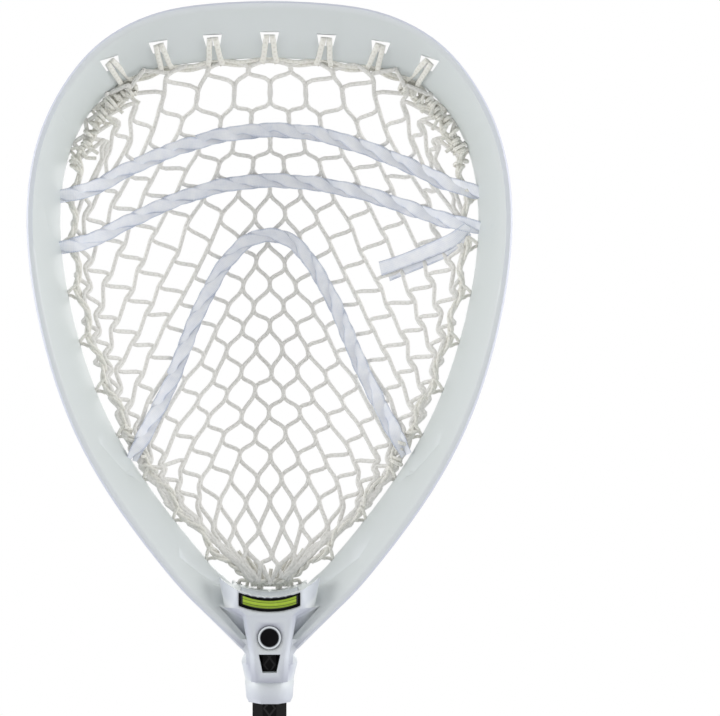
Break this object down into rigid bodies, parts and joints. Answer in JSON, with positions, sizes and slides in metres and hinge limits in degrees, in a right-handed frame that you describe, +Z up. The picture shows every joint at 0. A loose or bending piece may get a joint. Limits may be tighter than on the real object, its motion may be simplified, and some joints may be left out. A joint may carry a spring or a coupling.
{
  "type": "goalkeeper's lacrosse stick",
  "caption": "Goalkeeper's lacrosse stick: octagonal alloy shaft, wide moulded head with a strung mesh pocket, shooting laces, throat inlays and a rubber butt cap.",
  "frame": {"origin": "middle of the end cap's flat bottom face, on the shaft's axis", "axes": "+Z up the shaft towards the scoop; -Y is the catching side and the pocket bulges to +Y; +X is to the right seen from the catching side"},
  "size_m": [0.32, 0.1216, 1.4183],
  "materials": {
    "alloy_black": "satin black anodised, with a gloss print on the flats",
    "nylon_white": "moulded white nylon, semi-gloss",
    "rubber_black": "matt moulded rubber",
    "steel_screw": "zinc plated steel",
    "foam_grey": "closed-cell foam with a skin",
    "inlay_black": "gloss black",
    "inlay_green": "gloss yellow-green",
    "inlay_silver": "bright metal foil ring",
    "mesh_nylon": "knotless knitted polyester mesh, off-white",
    "string_nylon": "braided nylon string, warm white",
    "lace_white": "flat woven polyester lace, cool white"
  },
  "bodies": {
    "stick": {"shaft_tube": "alloy_black", "head_frame": "nylon_white", "ball_stop": "foam_grey", "throat_badge_frame": "inlay_black", "throat_badge_field": "inlay_green", "emblem_ring": "inlay_silver", "emblem_disc": "inlay_black", "mesh_pocket": "mesh_nylon", "top_string": "string_nylon", "bottom_string": "string_nylon", "left_sidewall_string": "string_nylon", "right_sidewall_string": "string_nylon", "upper_shooting_lace": "lace_white", "lower_shooting_lace": "lace_white", "v_shooting_lace": "lace_white", "lace_tail": "lace_white", "corner_knots": "string_nylon"},
    "cap": {"end_cap": "rubber_black"},
    "screw": {"head_screw": "steel_screw"}
  },
  "joints": [
    {"name": "end_cap_pull", "type": "slide", "parent": "stick", "child": "cap", "axis": [0, 0, -1], "range_m": [0, 0.04]},
    {"name": "head_screw_out", "type": "slide", "parent": "stick", "child": "screw", "axis": [0, 1, 0], "range_m": [0, 0.014]}
  ]
}
